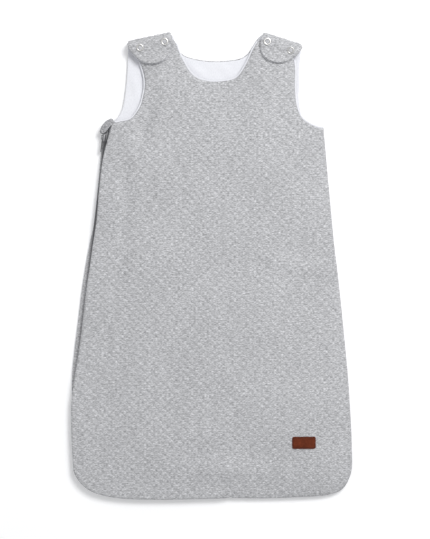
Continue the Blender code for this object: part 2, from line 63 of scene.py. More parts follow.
# Heights of the cloth's middle surface.
BACK_MIDDLE = 2.9
LINING_MIDDLE = 5.7
FRONT_MIDDLE = 14.6
FRONT_DOME = 5.5
FRONT_SEAM_EDGE = 8.8
FRONT_ZIP_EDGE = 13.3
FRONT_OPEN_EDGE = 12.2
LEFT_ARM_EDGE = 9.8
QUILT_HALF = 2.5
LINING_HALF = 0.45
LINING_IN = 5.5
BACK_LINING_IN_AT_ZIP = 10.5
FRONT_LINING_IN_AT_ZIP = 7.4
NECK_RIM = 1.8
# How far, between two kinds of edge or in from an edge, the front's height changes.
SEAM_TO_ZIP = 50.0
RIM_TO_OPENING = 30.0
LEFT_ARM_REACH = 45.0
RISE_REACH = 32.0
DOME_REACH = 110.0
LOOSE_REACH = 30.0

# The lining that rolls out along the front's openings.
ROLL_RADIUS = 1.3
ROLL_OUT = 0.9
ROLL_DROP = 1.2
ROLL_SIDES = 8

# The quilting: small diamonds, sewn along two sets of slanting lines.
QUILT_PITCH = 11.7
QUILT_RELIEF = 0.9

# Spacing of the points in a plan, along a row and between rows. Quilted cloth has a row of points
# on every sewn line, and three between two lines.
QUILTED = (QUILT_PITCH / 4, QUILT_PITCH / 8)
LEATHERY = (0.7, 0.6)
PLAIN = (3.2, 2.8)
LOOSE = (5.2, 4.5)
COARSE = (9.0, 7.8)

# The zip, as on the frame: depths inside the straight line of the back's edge, and heights.
ZIP_SIDE_TOP = (-161.6, 203.0)
ZIP_SIDE_FOOT = (-209.0, -200.0)
ZIP_LINE = 5.0
ZIP_MIDDLE = 9.25
BACK_TEETH = (7.0, 9.7)
FRONT_TEETH = (8.8, 11.5)
TOOTH_PITCH = 1.5
TOOTH_OUT = 1.5
# A loop's section, as (height, width) shares, and its slices, as (depth, size).
TOOTH = [
    (-1.0, -0.32), (-1.0, 0.32), (-0.35, 0.45), (0.55, 0.36), (1.0, 0.16), (1.0, -0.16),
    (0.55, -0.36), (-0.35, -0.45),
]
TOOTH_SLICES = ((-0.75, 0.72), (-0.25, 1.0), (0.35, 1.0), (0.85, 0.72))
# The tapes' sections, as (height, depth).
BACK_TAPE = [(3.0, 0.4), (5.0, 0.2), (7.0, 0.0), (8.6, 0.0)]
FRONT_TAPE = [(9.9, 0.0), (11.5, 0.0), (13.5, 0.3), (15.0, 0.6)]
GUARD_HEIGHT = 6.9
GUARD_DEPTHS = (3.5, 6.0, 9.0, 11.0)
SLIDER_OFF_CENTRE = 2.5
# The slider's blocks and the puller's, as (low corner, high corner, rounding).
SLIDER_BLOCKS = [
    # The outer plate, the inner one and the post between them.
    ((-3.8, -6.0, -3.3), (-2.6, 6.0, 3.3), 0.5),
    ((0.7, -6.0, -3.3), (1.9, 6.0, 3.3), 0.5),
    ((-3.6, 2.7, -0.3), (1.7, 5.7, 0.3), 0.1),
    # The two flanges.
    ((-3.0, -5.9, -3.25), (-0.75, 5.9, -2.6), 0.2),
    ((-3.0, -5.9, 2.6), (-0.75, 5.9, 3.25), 0.2),
    # The bail's two feet and its bar.
    ((-6.7, -3.4, -0.8), (-3.0, -2.2, 0.8), 0.3),
    ((-6.7, 2.2, -0.8), (-3.0, 3.4, 0.8), 0.3),
    ((-6.9, -3.3, -0.75), (-5.9, 3.3, 0.75), 0.3),
]
PULLER_BLOCKS = [
    # The crossbar on the hinge, the two bars and the tab.
    ((-5.58, -0.36, -2.9), (-4.58, 0.64, 2.9), 0.35),
    ((-5.55, -7.0, -3.0), (-4.6, 0.64, -2.0), 0.3),
    ((-5.55, -7.0, 2.0), (-4.6, 0.64, 3.0), 0.3),
    ((-5.6, -22.0, -3.0), (-4.5, -5.5, 3.0), 0.45),
]
SHARP_ANGLE = 40
FOLD_TOP_Y = 150.0
FOLD_END = (31.0, -342.5)
# The front's zip is cut at the fold, with a gap on either side of it.
FOLD_GAP = 0.3

HEM_LEFT = [
    (-209, -205), (-208.8, -250), (-206.8, -290), (-204.6, -309), (-194.2, -325.2),
    (-180.4, -335.8), (-165.5, -341.6), (-140, -346.4), (-106.5, -348.6), (-60, -348.8),
    (-17, -347.8), (20, -346.8), (30, -344.8),
]
HEM_RIGHT = [
    (30, -344.8), (35.4, -346.6), (80, -347.4), (147.5, -344.8), (175.6, -341.8), (195.2, -334),
    (206, -317.5), (210.2, -299), (209.8, -268), (208.6, -238), (204.6, -171), (197.6, -96),
    (189.9, -21), (182.8, 38.5), (177.3, 98), (171.8, 158), (167.6, 205),
]
BACK_SIDE = [
    (-162.5, 203), (-164.5, 180), (-168, 140), (-172.3, 98), (-175, 68), (-181.5, 38),
    (-188.2, 1), (-194.4, -40), (-200.2, -88), (-205.4, -130), (-208.6, -165), (-209, -205),
]
FRONT_SIDE = [
    (-148, 213), (-154, 193), (-159.5, 171), (-164, 145), (-168.3, 105), (-171.5, 68),
    (-176, 38), (-181, 1), (-187, -40), (-192.5, -88), (-198, -130), (-203.8, -165),
    (-209, -205),
]
BACK_RIGHT_ARM = [
    (167.6, 205), (152, 208), (139, 217), (133, 232), (130.8, 250), (131.3, 270),
    (131.3, 292.5), (133.5, 315), (135, 330.5),
]
BACK_NECK = [
    (74.5, 345), (67, 337), (56.2, 320), (44, 311), (25, 307.5), (0, 306.7), (-24, 309.8),
    (-41, 315.5), (-51.4, 327), (-57.8, 345),
]
BACK_LEFT_ARM = [
    (-124.5, 335), (-124.8, 320), (-125.2, 300), (-126.8, 275), (-129.5, 252), (-133, 235),
    (-139.5, 222.5), (-148, 215), (-162.5, 203),
]
FRONT_RIGHT_ARM = [
    (167.6, 205), (158, 206.6), (147.5, 211), (136, 219), (130, 229.5), (126.3, 243),
    (124.3, 268), (124.8, 292.5), (122.8, 309), (127.2, 325.2),
]
FRONT_NECK = [
    (79.7, 341.2), (69, 334), (62, 322.5), (55.3, 307.5), (45.8, 290.5), (36, 279.8),
    (18, 275.3), (0, 274.6), (-17, 278), (-27, 284), (-34.8, 293), (-46.8, 315), (-54, 334),
    (-62.8, 342),
]
FRONT_LEFT_ARM = [
    (-115, 329), (-107, 306.5), (-100.5, 285), (-99.2, 268), (-101.4, 255), (-105.4, 240),
    (-113.5, 226), (-121.5, 218.6), (-134, 215.4), (-148, 213),
]
LEFT_FLAP = [
    (-58, 338), (-60.2, 322), (-66, 310), (-76, 302.6), (-89, 300), (-99, 301.8), (-108, 306.6),
    (-116.5, 314.5), (-123, 323), (-125.6, 330),
]
RIGHT_FLAP = [
    (135.8, 325.5), (134.5, 322.5), (130, 316), (122.5, 309.5), (113.5, 304.2), (104, 302),
    (93, 302.6), (83, 306.6), (76, 314), (72.8, 324), (73.6, 338),
]
GARAGE_PATH = [(-166.5, 199.0), (-163.0, 207.5), (-157.0, 214.8), (-147.0, 220.5)]
# The tab's section, as (height, depth): from its root in the back, up and over the zip.
GARAGE_SECTION = [
    (2.9, 8.5), (2.9, 5.5), (2.9, 2.8), (3.7, 1.1), (5.5, 0.6), (8.0, 0.3), (11.0, 0.1),
    (14.0, 0.2), (16.5, 0.7), (18.4, 1.8), (19.5, 3.6), (19.9, 5.8), (19.6, 8.0), (18.7, 9.8),
]
GARAGE_FOOT = 3.5
LEFT_FOLD = ((-58.7, 346.8), (-125.9, 332.5))
RIGHT_FOLD = ((136.2, 327.5), (75.7, 346.8))
SHOULDER_ROLL = 9.3
FLAP_MIDDLE = 2.6 + 2 * SHOULDER_ROLL
FLAP_HALF = 2.0
ROLL_TAIL = 8.0
ROLL_INSET = 1.5
FLAP_LINING_SHOWS = 0.02
# How far a flap sinks and its tip lifts, with the reach of each, and the wave along one side.
FLAP_DIP = 1.8
FLAP_DIP_REACH = 14.0
FLAP_TIP_LIFT = 4.4
FLAP_TIP_REACH = 24.0
FLAP_SIDE_DIP = 1.0
FLAP_SIDE_REACH = 10.0
FLAP_WAVE = 0.9
FLAP_WAVE_PITCH = 7.0
FLAP_WAVE_REACH = 14.0
FLAP_SEAM_DEPTH = 3.4

SNAP_PLACES = {
    "left_outer": (-106.0, 324.0),
    "left_inner": (-69.5, 333.0),
    "right_inner": (83.0, 333.0),
    "right_outer": (118.0, 320.0),
}

LABEL_SHIFT = np.array([-0.4, 1.2])
LABEL_LIFT = 1.6
LABEL_HALF = 0.75
STITCH_MARGIN = 1.8
STITCH = 2.4
STITCH_SHARE = 0.72
STITCH_RINGS = 6
STITCH_SIDES = 6

# Soft folds in the front: (start, end, half width, depth). A ridge has a negative depth.
FOLDS = [
    ((-87.0, 254.0), (-108.0, 180.0), 13.0, 5.2),
    ((-116.0, 212.0), (-152.0, 184.0), 14.0, 4.4),
    ((-104.0, 200.0), (-109.0, 140.0), 4.0, 0.7),
    ((-127.0, 166.0), (-126.0, 40.0), 10.0, 2.2),
    ((-126.0, 60.0), (-139.0, -40.0), 10.0, 1.4),
    ((-155.0, -75.0), (-156.0, -138.0), 7.0, 1.6),
    ((56.0, 22.0), (112.0, 2.0), 8.0, -1.0),
    ((104.0, 2.0), (178.0, -6.0), 13.0, -2.2),
    ((95.0, 224.0), (146.0, 193.0), 9.0, 1.3),
    ((-45.0, 268.0), (-62.0, 236.0), 9.0, 0.8),
    ((52.0, 276.0), (70.0, 246.0), 9.0, 0.7),
    ((-45.0, -300.0), (105.0, -309.0), 17.0, -2.8),
    ((18.0, -332.0), (10.0, -300.0), 7.0, 1.2),
    ((44.0, -332.0), (56.0, -305.0), 8.0, 0.9),
]


# Plans.


def curve(points, step):
    """Points about a step apart on a smooth curve through the given ones, without the last."""
    points = np.array(points, float)
    ends = np.vstack([2 * points[0] - points[1], points, 2 * points[-1] - points[-2]])
    made = []
    for before, start, stop, after in zip(ends, ends[1:], ends[2:], ends[3:]):
        count = max(1, round(float(np.linalg.norm(stop - start)) / step))
        t = (np.arange(count) / count)[:, None]
        a = 2 * start
        b = (stop - before) * t
        c = (2 * before - 5 * start + 4 * stop - after) * t**2
        d = (3 * start - before - 3 * stop + after) * t**3
        made.append((a + b + c + d) / 2)
    return np.vstack(made)


def loop(stretches, step):
    """A closed outline from smooth stretches, each of which starts where the last one ends."""
    return np.vstack([curve(stretch, step) for stretch in stretches])


def directions(path, closed=False):
    """At each point of a path, the unit direction along it and the one to its left."""
    before = np.roll(path, 1, axis=0)
    after = np.roll(path, -1, axis=0)
    if not closed:
        before[0] = 2 * path[0] - path[1]
        after[-1] = 2 * path[-1] - path[-2]
    along = after - before
    along /= np.linalg.norm(along, axis=1)[:, None]
    return along, np.column_stack([-along[:, 1], along[:, 0]])


def distance(points, path):
    """From each point to a path of points, and the share of the way along it."""
    least = np.full(len(points), np.inf)
    share = np.zeros(len(points))
    total = len(path) - 1
    for i, (start, stop) in enumerate(zip(path, path[1:])):
        along = stop - start
        t = np.clip((points - start) @ along / (along @ along), 0, 1)
        away = np.linalg.norm(points - start - t[:, None] * along, axis=1)
        nearer = away < least
        least = np.where(nearer, away, least)
        share = np.where(nearer, (i + t) / total, share)
    return least, share


def is_inside(points, edge):
    crossings = np.zeros(len(points), int)
    for a, b in zip(edge, np.roll(edge, -1, axis=0)):
        if a[1] == b[1]:
            continue
        between = (a[1] > points[:, 1]) != (b[1] > points[:, 1])
        x = a[0] + (points[:, 1] - a[1]) * (b[0] - a[0]) / (b[1] - a[1])
        crossings += between & (points[:, 0] < x)
    return crossings % 2 == 1


def edge_distance(points, edge):
    return distance(points, np.vstack([edge, edge[:1]]))[0]


def grid_inside(edge, spacing, clearance):
    """Staggered points that keep a distance from the outline: spacing is along a row and between rows."""
    wide, high = spacing
    first, last = np.floor(edge.min(axis=0) / spacing), np.ceil(edge.max(axis=0) / spacing)
    made = []
    for row in np.arange(first[1], last[1]):
        x = (np.arange(first[0], last[0]) + 0.5 * (row % 2)) * wide
        made.append(np.column_stack([x, np.full(len(x), row * high)]))
    points = np.vstack(made)
    points = points[is_inside(points, edge)]
    return points[edge_distance(points, edge) > clearance]


def rings_inside(edge, depths):
    """Points on lines that follow the outline at a few small depths, where the edge rounds over."""
    _, inwards = directions(edge, closed=True)
    made = []
    for depth in depths:
        ring = edge + inwards * depth
        keep = is_inside(ring, edge)
        keep &= edge_distance(ring, edge) > depth * 0.9
        made.append(ring[keep])
    return np.vstack(made)


def triangulated(edge, inside):
    """The plan's points, outline first, and its triangles."""
    points = [Vector(p) for p in np.vstack([edge, inside])]
    ring = [list(range(len(edge)))]
    plan, _, triangles, *_ = delaunay_2d_cdt(points, [], ring, 1, 1e-7)
    return np.array([tuple(p) for p in plan]), [tuple(t) for t in triangles]


def make_mesh(name, points, faces, plan, material):
    mesh = bpy.data.meshes.new(name)
    mesh.from_pydata((np.asarray(points) * METRES_PER_MM).tolist(), [], [tuple(f) for f in faces])
    if plan is not None:
        layer = mesh.uv_layers.new(name="cloth")
        index = np.empty(len(mesh.loops), np.int32)
        mesh.loops.foreach_get("vertex_index", index)
        layer.data.foreach_set("uv", (np.asarray(plan)[index] * METRES_PER_MM).ravel())
    mesh.materials.append(material)
    mesh.shade_smooth()
    mesh.update()
    made = bpy.data.objects.new(name, mesh)
    bpy.context.scene.collection.objects.link(made)
    return made


def tube_faces(rings, size, first=0):
    """Faces of a closed tube through rings of points, numbered one ring after another."""
    last = first + (rings - 1) * size
    faces = [tuple(first + k for k in range(size)), tuple(last + k for k in reversed(range(size)))]
    for low in range(first, last, size):
        for k in range(size):
            after = (k + 1) % size
            faces.append((low + k, low + size + k, low + size + after, low + after))
    return faces


def rounded(depth, half, radius):
    """Half the thickness of a cloth at a depth inside its edge, which is round."""
    near = 1 - np.clip(depth / radius, 0, 1)
    return half * np.sqrt(np.maximum(0, 1 - near**2))


def pillow(name, edge, spacing, place, half, relief, material, rings=(0.25, 0.8, 1.7, 2.8), radius=3.0):
    """A closed piece of cloth. place(plan) gives the middle surface and the way up from it."""
    fine = grid_inside(edge, spacing, rings[-1] + spacing[1] * 0.6)
    upper_plan, upper_faces = triangulated(edge, np.vstack([fine, rings_inside(edge, rings)]))
    coarse = grid_inside(edge, COARSE, COARSE[1] * 0.7)
    lower_plan, lower_faces = triangulated(edge, np.vstack([coarse, rings_inside(edge, rings[-1:])]))
    count = len(edge)

    def face(plan, sign):
        middle, up = place(plan)
        depth = edge_distance(plan, edge)
        depth[:count] = 0
        height = rounded(depth, half, radius)
        if relief is not None:
            height = height + relief(plan) * np.clip(depth / radius, 0, 1) * (sign > 0)
        return middle + up * (sign * height)[:, None]

    upper = face(upper_plan, 1)
    lower = face(lower_plan, -1)[count:]
    shift = len(upper_plan) - count
    faces = [tuple(t) for t in upper_faces]
    faces += [tuple(i if i < count else i + shift for i in reversed(t)) for t in lower_faces]
    plan = np.vstack([upper_plan, lower_plan[count:]])
    return make_mesh(name, np.vstack([upper, lower]), faces, plan, material)


def smooth(t):
    t = np.clip(t, 0, 1)
    return t * t * (3 - 2 * t)


def quilting(plan):
    """How far the cloth stands up between the sewn lines."""
    u = (plan[:, 0] + plan[:, 1]) * math.pi / QUILT_PITCH
    v = (plan[:, 0] - plan[:, 1]) * math.pi / QUILT_PITCH
    return QUILT_RELIEF * np.sqrt(np.abs(np.sin(u) * np.sin(v)))


def softness(plan, seed, size):
    """Slow unevenness of cloth that lies loose."""
    x = plan[:, 0] / size
    y = plan[:, 1] / size
    total = np.sin(x * 1.7 + seed) * np.sin(y * 1.3 + seed * 2.1)
    total += 0.6 * np.sin(x * 3.1 - y * 1.9 + seed * 0.7)
    total += 0.4 * np.sin(x * 2.3 + y * 4.1 + seed * 1.9)
    return total / 2


def creased(plan, folds):
    total = np.zeros(len(plan))
    for start, stop, width, depth in folds:
        away, share = distance(plan, np.array([start, stop]))
        fade = np.sin(math.pi * np.clip(0.12 + 0.76 * share, 0, 1))
        total += depth * fade * np.exp(-((away / width) ** 2))
        total -= 0.5 * depth * fade * np.exp(-(((away - 1.6 * width) / width) ** 2))
    return total


# Materials. Colours are linear.

DARK_YARN = (0.28, 0.281, 0.29)
MIDDLE_YARN = (0.50, 0.502, 0.514)
PALE_YARN = (0.765, 0.767, 0.783)
SHADED_WHITE = (0.76, 0.765, 0.80)
CLEAN_WHITE = (0.86, 0.865, 0.90)
DARK_BROWN = (0.10, 0.021, 0.008)
BROWN = (0.17, 0.036, 0.014)


def grey(level):
    return (level, level, level)


def nodes_of(name):
    material = bpy.data.materials.new(name)
    material.use_nodes = True
    tree = material.node_tree
    return material, tree, tree.nodes["Principled BSDF"]


def add_node(tree, kind, **settings):
    made = tree.nodes.new(kind)
    for key, value in settings.items():
        setattr(made, key, value)
    return made


def set_inputs(node, **values):
    """Sets a node's inputs, with _ for each space in their names."""
    for name, value in values.items():
        node.inputs[name.replace("_", " ")].default_value = value


def cloth_coordinates(tree, stretch):
    """The cloth's own plan, in metres, scaled differently along and across it."""
    uv = add_node(tree, "ShaderNodeUVMap", uv_map="cloth")
    scale = add_node(tree, "ShaderNodeMapping")
    scale.inputs["Scale"].default_value = (*stretch, 1.0)
    tree.links.new(uv.outputs["UV"], scale.inputs["Vector"])
    return scale.outputs["Vector"]


def noise(tree, vector, scale, detail=3.0, rough=0.55):
    made = add_node(tree, "ShaderNodeTexNoise")
    set_inputs(made, Scale=scale, Detail=detail, Roughness=rough)
    tree.links.new(vector, made.inputs["Vector"])
    return made.outputs["Fac"]


def cloth_noise(tree, stretch, detail=2.0, rough=0.5):
    return noise(tree, cloth_coordinates(tree, stretch), 1.0, detail, rough)


def ramp(tree, value, stops):
    made = add_node(tree, "ShaderNodeValToRGB")
    elements = made.color_ramp.elements
    while len(elements) < len(stops):
        elements.new(0.5)
    for element, (place, colour) in zip(elements, stops):
        element.position = place
        element.color = (*colour, 1.0)
    tree.links.new(value, made.inputs["Fac"])
    return made.outputs["Color"]


def multiplied(tree, *colours):
    product = colours[0]
    for colour in colours[1:]:
        made = add_node(tree, "ShaderNodeMix", data_type="RGBA", blend_type="MULTIPLY")
        made.inputs[0].default_value = 1.0
        tree.links.new(product, made.inputs[6])
        tree.links.new(colour, made.inputs[7])
        product = made.outputs[2]
    return product


def bumped(tree, shader, height, strength, reach):
    made = add_node(tree, "ShaderNodeBump")
    set_inputs(made, Strength=strength, Distance=reach)
    tree.links.new(height, made.inputs["Height"])
    tree.links.new(made.outputs["Normal"], shader.inputs["Normal"])


def computed(tree, operation, *values):
    made = add_node(tree, "ShaderNodeMath", operation=operation)
    for slot, value in zip(made.inputs, values):
        if isinstance(value, (int, float)):
            slot.default_value = value
        else:
            tree.links.new(value, slot)
    return made.outputs[0]


def quilted_height(tree):
    """The same diamonds as quilting(): 0 on a sewn line and 1 in the middle of a diamond."""
    split = add_node(tree, "ShaderNodeSeparateXYZ")
    turns = math.pi * MM_PER_METRE / QUILT_PITCH
    tree.links.new(cloth_coordinates(tree, (turns, turns)), split.inputs["Vector"])
    waves = []
    for operation in ("ADD", "SUBTRACT"):
        along = computed(tree, operation, split.outputs["X"], split.outputs["Y"])
        waves.append(computed(tree, "ABSOLUTE", computed(tree, "SINE", along)))
    return computed(tree, "SQRT", computed(tree, "MULTIPLY", *waves))


def heather_jersey():
    """Grey melange knit: short level flecks of lighter and darker yarn, quilted in small diamonds, with
    painted shade along the sewn lines and a painted highlight in the middle of each diamond.
    """
    material, tree, shader = nodes_of("heather_jersey")
    flecks = cloth_noise(tree, (300.0, 1000.0), 3.0, 0.6)
    coarse = cloth_noise(tree, (90.0, 420.0))
    clouds = cloth_noise(tree, (14.0, 14.0))
    yarn = ramp(tree, flecks, [(0.32, DARK_YARN), (0.50, MIDDLE_YARN), (0.68, PALE_YARN)])
    strands = ramp(tree, coarse, [(0.32, grey(0.82)), (0.52, grey(1.0)), (0.72, grey(1.18))])
    uneven = ramp(tree, clouds, [(0.35, grey(0.965)), (0.65, grey(1.03))])
    diamonds = quilted_height(tree)
    # Painted shade along the sewn lines of the quilting, and a painted highlight in the middle of each
    # diamond.
    quilt_shade_and_highlight = ramp(tree, diamonds, [(0.0, grey(0.76)), (0.3, grey(0.965)), (1.0, grey(1.02))])
    tree.links.new(multiplied(tree, yarn, strands, uneven, quilt_shade_and_highlight), shader.inputs["Base Color"])
    set_inputs(shader, Roughness=0.95, Specular_IOR_Level=0.2, Sheen_Weight=0.1, Sheen_Roughness=0.5)
    knit = cloth_noise(tree, (700.0, 1100.0))
    height = computed(tree, "ADD", computed(tree, "MULTIPLY", diamonds, 0.6), knit)
    bumped(tree, shader, height, 0.5, 0.0006)
    return material


def white_jersey():
    """Plain white knit, with fine upright ribs and a little unevenness."""
    material, tree, shader = nodes_of("white_jersey")
    fine = cloth_noise(tree, (900.0, 320.0), 3.0, 0.6)
    clouds = cloth_noise(tree, (25.0, 25.0))
    colour = ramp(tree, fine, [(0.3, SHADED_WHITE), (0.7, CLEAN_WHITE)])
    uneven = ramp(tree, clouds, [(0.35, grey(0.97)), (0.65, grey(1.0))])
    tree.links.new(multiplied(tree, colour, uneven), shader.inputs["Base Color"])
    set_inputs(shader, Roughness=0.95, Specular_IOR_Level=0.2)
    bumped(tree, shader, fine, 0.3, 0.0005)
    return material


def object_noise(tree, scale, detail=3.0):
    place = add_node(tree, "ShaderNodeTexCoord")
    return noise(tree, place.outputs["Object"], scale, detail)


def leather():
    """Brown leather: a fine grain, paler where it is rubbed."""
    material, tree, shader = nodes_of("label_leather")
    grain = object_noise(tree, 900.0, 4.0)
    patches = object_noise(tree, 120.0, 3.0)
    base = ramp(tree, patches, [(0.3, DARK_BROWN), (0.7, BROWN)])
    pores = ramp(tree, grain, [(0.35, grey(0.80)), (0.6, grey(1.05))])
    tree.links.new(multiplied(tree, base, pores), shader.inputs["Base Color"])
    set_inputs(shader, Roughness=0.65, Specular_IOR_Level=0.1)
    bumped(tree, shader, grain, 0.5, 0.0003)
    return material


def metal(name, colour, roughness):
    material, tree, shader = nodes_of(name)
    wear = object_noise(tree, 700.0, 3.0)
    dark = tuple(c * 0.82 for c in colour)
    tree.links.new(ramp(tree, wear, [(0.35, dark), (0.65, colour)]), shader.inputs["Base Color"])
    set_inputs(shader, Metallic=1.0, Roughness=roughness)
    bumped(tree, shader, wear, 0.15, 0.0001)
    return material


def dyed(name, colour, roughness, scale):
    """Thread, tape or moulded coil: one colour with a fine texture. For the zip's tapes that colour is
    their grey darkened with painted shade.
    """
    material, tree, shader = nodes_of(name)
    fine = object_noise(tree, scale, 3.0)
    dark = tuple(c * 0.7 for c in colour)
    tree.links.new(ramp(tree, fine, [(0.3, dark), (0.7, colour)]), shader.inputs["Base Color"])
    set_inputs(shader, Roughness=roughness)
    bumped(tree, shader, fine, 0.4, 0.0003)
    return material


def plain_cloth(name, dark, light, scale):
    """Cloth of small pieces, whose texture follows the object instead of a plan."""
    material, tree, shader = nodes_of(name)
    fine = object_noise(tree, scale, 3.0)
    tree.links.new(ramp(tree, fine, [(0.3, dark), (0.7, light)]), shader.inputs["Base Color"])
    set_inputs(shader, Roughness=0.95, Specular_IOR_Level=0.2)
    bumped(tree, shader, fine, 0.4, 0.0004)
    return material


HEATHER = heather_jersey()
WHITE = white_jersey()
LEATHER = leather()
NICKEL = metal("snap_nickel", (0.74, 0.73, 0.71), 0.3)
SLIDER_METAL = metal("slider_metal", (0.36, 0.36, 0.37), 0.38)
# The tapes' own grey, darkened with painted shade of the gap under the front's edge.
TAPE_GREY_AND_SHADE = dyed("zip_tape_grey_and_shade", (0.17, 0.17, 0.18), 0.9, 1600.0)
COIL_GREY = dyed("zip_coil_grey", (0.33, 0.33, 0.345), 0.5, 900.0)
LABEL_THREAD = dyed("label_thread", (0.06, 0.02, 0.011), 0.85, 2500.0)
HEATHER_PLAIN = plain_cloth("heather_small", (0.34, 0.34, 0.355), (0.66, 0.66, 0.68), 700.0)
# A darker copy of the shell's heather for the zip's tab: painted shade, since the tab is the shell's own
# cloth.
HEATHER_PAINTED_SHADE = plain_cloth("heather_tab_painted_shade", (0.17, 0.17, 0.178), (0.56, 0.56, 0.575), 520.0)
WHITE_PLAIN = plain_cloth("white_small", (0.74, 0.745, 0.78), CLEAN_WHITE, 700.0)


# Where the cloth lies.

ZIP_RIM = np.vstack([curve(FRONT_SIDE, 6.0), curve(HEM_LEFT, 6.0)])
SEAM_RIM = np.vstack([curve(HEM_RIGHT, 6.0), np.array(HEM_RIGHT[-1:])])
LEFT_ARM_RIM = curve(FRONT_LEFT_ARM[2:], 6.0)
OPEN_RIM = np.vstack(
    [curve(FRONT_RIGHT_ARM, 6.0), curve(FRONT_NECK, 6.0), curve(FRONT_LEFT_ARM, 6.0)]
)


def level(plan, height):
    return np.column_stack([plan, height]), np.tile([0.0, 0.0, 1.0], (len(plan), 1))


def front_place(plan):
    """The front's middle surface: level over the body, and lower towards its edges."""
    to_zip = distance(plan, ZIP_RIM)[0]
    to_seam = distance(plan, SEAM_RIM)[0]
    to_open = distance(plan, OPEN_RIM)[0]
    quilt_shade_and_highlight = smooth((to_zip - to_seam) / SEAM_TO_ZIP + 0.5)
    edge_height = FRONT_ZIP_EDGE + (FRONT_SEAM_EDGE - FRONT_ZIP_EDGE) * quilt_shade_and_highlight
    to_rim = np.minimum(to_zip, to_seam)
    open_share = smooth((to_rim - to_open) / RIM_TO_OPENING + 0.5)
    to_left_arm = distance(plan, LEFT_ARM_RIM)[0]
    left_share = smooth(1 - to_left_arm / LEFT_ARM_REACH)
    open_edge = FRONT_OPEN_EDGE + (LEFT_ARM_EDGE - FRONT_OPEN_EDGE) * left_share
    edge_height = edge_height + (open_edge - edge_height) * open_share
    nearest = np.minimum(to_rim, to_open)
    near = 1 - np.clip(nearest / RISE_REACH, 0, 1)
    rise = np.sqrt(np.maximum(0, 1 - near**2))
    dome = FRONT_DOME * smooth(nearest / DOME_REACH)
    height = edge_height + (FRONT_MIDDLE - edge_height) * rise + dome
    loose = smooth(nearest / LOOSE_REACH)
    height += 0.8 * softness(plan, 1.3, 75.0) * loose - creased(plan, FOLDS)
    return level(plan, height)


def back_place(plan):
    return level(plan, np.full(len(plan), BACK_MIDDLE))


LINING_FOLDS = [
    ((-30.0, 300.0), (-8.0, 282.0), 5.0, 0.7),
    ((12.0, 303.0), (30.0, 284.0), 6.0, 0.6),
    ((-120.0, 290.0), (-108.0, 245.0), 5.0, 0.7),
    ((130.0, 285.0), (127.0, 240.0), 4.0, 0.5),
]


def lining_place(plan):
    height = LINING_MIDDLE + 0.35 * softness(plan, 4.2, 26.0) + creased(plan, LINING_FOLDS)
    return level(plan, height)


def front_lining_place(plan):
    middle, up = front_place(plan)
    return middle - up * (QUILT_HALF + LINING_HALF + 0.25), up


def fold_axes(fold):
    """A flap's fold: its two ends, the direction along it and the one out over the shoulder."""
    start = np.array(fold[0])
    stop = np.array(fold[1])
    along = (stop - start) / np.linalg.norm(stop - start)
    return start, stop, along, np.array([along[1], -along[0]])


def roll_place(fold):
    """Places a flap's plan: flat over the front, and rolled round the shoulder behind it."""
    start, stop, along, outwards = fold_axes(fold)
    length = np.linalg.norm(stop - start)

    def place(plan):
        reach = (plan - start) @ outwards
        across = (plan - start) @ along
        turn = np.clip((reach + SHOULDER_ROLL) / SHOULDER_ROLL, 0, math.pi)
        tail = np.maximum(0, (reach + SHOULDER_ROLL) / SHOULDER_ROLL - math.pi) * SHOULDER_ROLL
        flat = np.minimum(reach + SHOULDER_ROLL, 0)
        out = -SHOULDER_ROLL + flat + SHOULDER_ROLL * np.sin(turn) - tail
        height = FLAP_MIDDLE - SHOULDER_ROLL * (1 - np.cos(turn))
        off_middle = 2 * np.clip(across / length, 0, 1) - 1
        beyond = -flat
        held_down = FLAP_DIP * smooth(beyond / FLAP_DIP_REACH)
        held_down -= FLAP_TIP_LIFT * smooth((beyond - FLAP_DIP_REACH) / FLAP_TIP_REACH)
        held_down += FLAP_SIDE_DIP * off_middle**2 * smooth(beyond / FLAP_SIDE_REACH)
        height = height - held_down
        fading = np.exp(-((across - length) / FLAP_WAVE_REACH) ** 2)
        height += FLAP_WAVE * np.sin(across / FLAP_WAVE_PITCH) * fading
        place_xy = start + across[:, None] * along + out[:, None] * outwards
        up = np.column_stack([np.sin(turn)[:, None] * outwards, np.cos(turn)])
        return np.column_stack([place_xy, height]), up

    return place


# Cloth pieces.


def signed_area(edge):
    """The area inside an outline, above zero where it runs anticlockwise."""
    x, y = edge[:, 0], edge[:, 1]
    return (np.dot(x, np.roll(y, -1)) - np.dot(y, np.roll(x, -1))) / 2


def anticlockwise(edge):
    return edge if signed_area(edge) > 0 else edge[::-1]


def fold_line():
    top = np.array(ZIP_SIDE_TOP)
    foot = np.array(ZIP_SIDE_FOOT)
    start = top + (foot - top) * (top[1] - FOLD_TOP_Y) / (top[1] - foot[1])
    return start, np.array(FOLD_END)


def blend_on_fold(obj):
    """Bakes the object's placement into its mesh."""
    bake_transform(obj)


def drawn_in(edge, quilt_shade_and_highlight, depth):
    """An outline moved inwards along its sewn sides, and left where it is at the openings."""
    _, inwards = directions(edge, closed=True)
    share = 1 - smooth(distance(edge, quilt_shade_and_highlight)[0] / 14.0)
    return edge + inwards * (depth * share)[:, None]


def rolled_edge(name, points):
    """A thin round edge of lining that shows along an opening of the front."""
    plan = curve(points, 3.0)
    _, inwards = directions(plan)
    middle, _ = front_place(plan - inwards * ROLL_OUT)
    rings = []
    for k in range(ROLL_SIDES):
        angle = 2 * math.pi * k / ROLL_SIDES
        ring = middle.copy()
        ring[:, :2] += inwards * ROLL_RADIUS * math.cos(angle)
        ring[:, 2] += ROLL_RADIUS * math.sin(angle) - ROLL_DROP
        rings.append(ring)
    points_3d = np.stack(rings, axis=1).reshape(-1, 3)
    faces = [f[::-1] for f in tube_faces(len(plan), ROLL_SIDES)]
    return make_mesh(name, points_3d, faces, np.repeat(plan, ROLL_SIDES, axis=0), WHITE)


